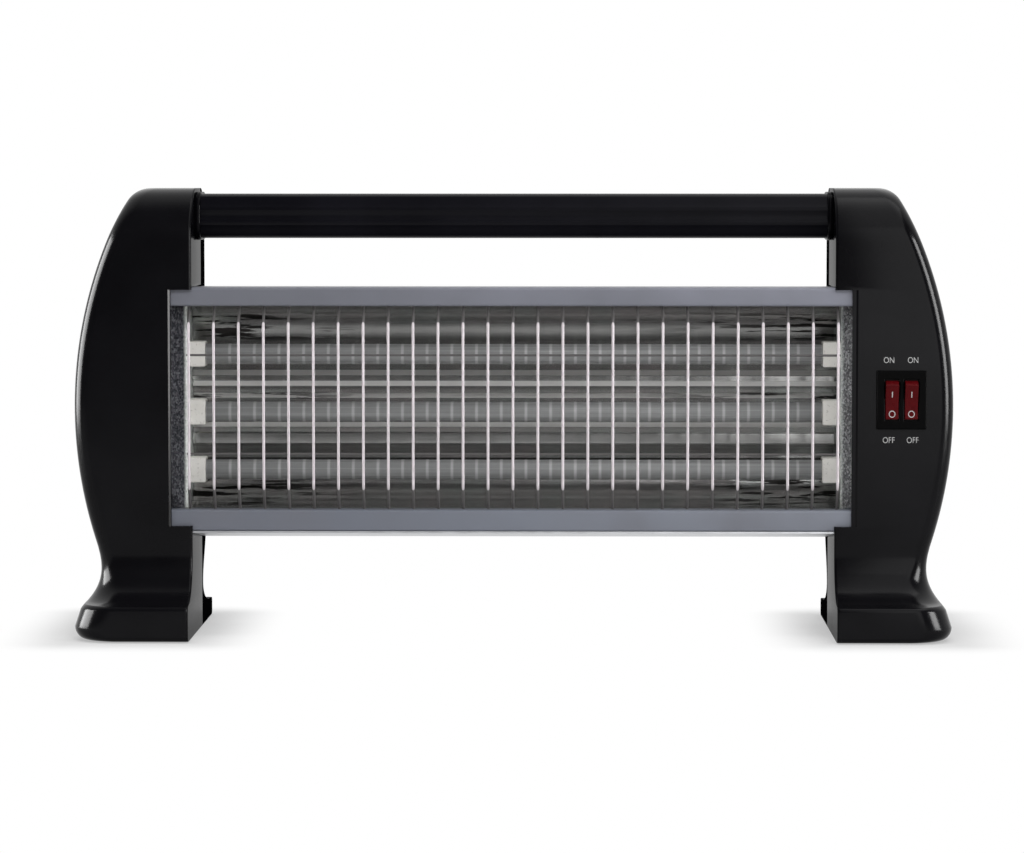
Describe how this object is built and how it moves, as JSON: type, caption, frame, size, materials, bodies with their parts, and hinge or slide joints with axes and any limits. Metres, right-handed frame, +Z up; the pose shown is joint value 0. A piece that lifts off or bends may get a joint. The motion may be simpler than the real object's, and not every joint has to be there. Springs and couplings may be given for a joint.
{
  "type": "electric bar heater",
  "caption": "Free-standing quartz bar heater: bowed side panels with feet, polished reflector behind a wire guard, fluted carry handle and rocker switches.",
  "frame": {"origin": "middle of the bounding box's bottom face, on the floor", "axes": "+X along the bar towards the switch, -Y out of the warm front, +Z up"},
  "size_m": [0.4716, 0.138, 0.241],
  "materials": {
    "front_plastic": "glossy black moulding",
    "rear_plastic": "satin black moulding",
    "handle_plastic": "satin dark moulding",
    "rubber": "matt black",
    "housing_steel": "bright zinc-coated sheet",
    "rail_paint": "grey satin paint",
    "galvanised": "spangled zinc",
    "reflector_sheet": "bright rolled",
    "wire_chrome": "bright plated wire",
    "quartz": "milky frosted quartz",
    "coil_wire": "dull resistance wire",
    "ceramic": "matt off-white",
    "terminal_steel": "plated",
    "switch_black": "satin black",
    "brass": "plain",
    "rocker_red": "glossy red",
    "block_white": "plain",
    "case_grey": "plain",
    "lead_red": "silicone sleeve",
    "lead_blue": "silicone sleeve",
    "screw_steel": "zinc-plated"
  },
  "bodies": {
    "heater": {"left_front_panel": "front_plastic", "left_rear_panel": "rear_plastic", "right_front_panel": "front_plastic", "right_rear_panel": "rear_plastic", "foot_pads": "rubber", "handle_bar": "handle_plastic", "handle_end_caps": "rear_plastic", "housing_shell": "housing_steel", "top_rail": "rail_paint", "bottom_rail": "rail_paint", "left_end_plate": "galvanised", "right_end_plate": "galvanised", "reflector": "reflector_sheet", "wire_guard": "wire_chrome", "upper_quartz_tube": "quartz", "middle_quartz_tube": "quartz", "lower_quartz_tube": "quartz", "upper_heating_coil": "coil_wire", "middle_heating_coil": "coil_wire", "lower_heating_coil": "coil_wire", "left_tube_holders": "ceramic", "right_tube_holders": "ceramic", "left_terminals": "terminal_steel", "right_terminals": "terminal_steel", "switch_frame": "switch_black", "switch_tabs": "brass", "terminal_block": "block_white", "cord_inlet_bush": "rubber", "tip_switch_case": "case_grey", "tip_switch_cover": "case_grey", "switch_leads": "lead_red", "supply_leads": "lead_blue", "return_leads": "lead_blue", "panel_screws": "screw_steel", "handle_screws": "screw_steel", "housing_screws": "screw_steel"},
    "left_rocker": {"left_rocker": "rocker_red"},
    "right_rocker": {"right_rocker": "rocker_red"},
    "tip_weight": {"tip_switch_weight": "brass"}
  },
  "joints": [
    {"name": "left_rocker_tilt", "type": "hinge", "parent": "heater", "child": "left_rocker", "pos_m": [0.20225, -0.0407, 0.1282], "axis": [1, 0, 0], "range_deg": [-22, 0]},
    {"name": "right_rocker_tilt", "type": "hinge", "parent": "heater", "child": "right_rocker", "pos_m": [0.21255, -0.0407, 0.1282], "axis": [1, 0, 0], "range_deg": [-22, 0]},
    {"name": "tip_weight_swing", "type": "hinge", "parent": "heater", "child": "tip_weight", "pos_m": [0.1805, -0.00615, 0.0437], "axis": [1, 0, 0], "range_deg": [-20, 20]}
  ]
}
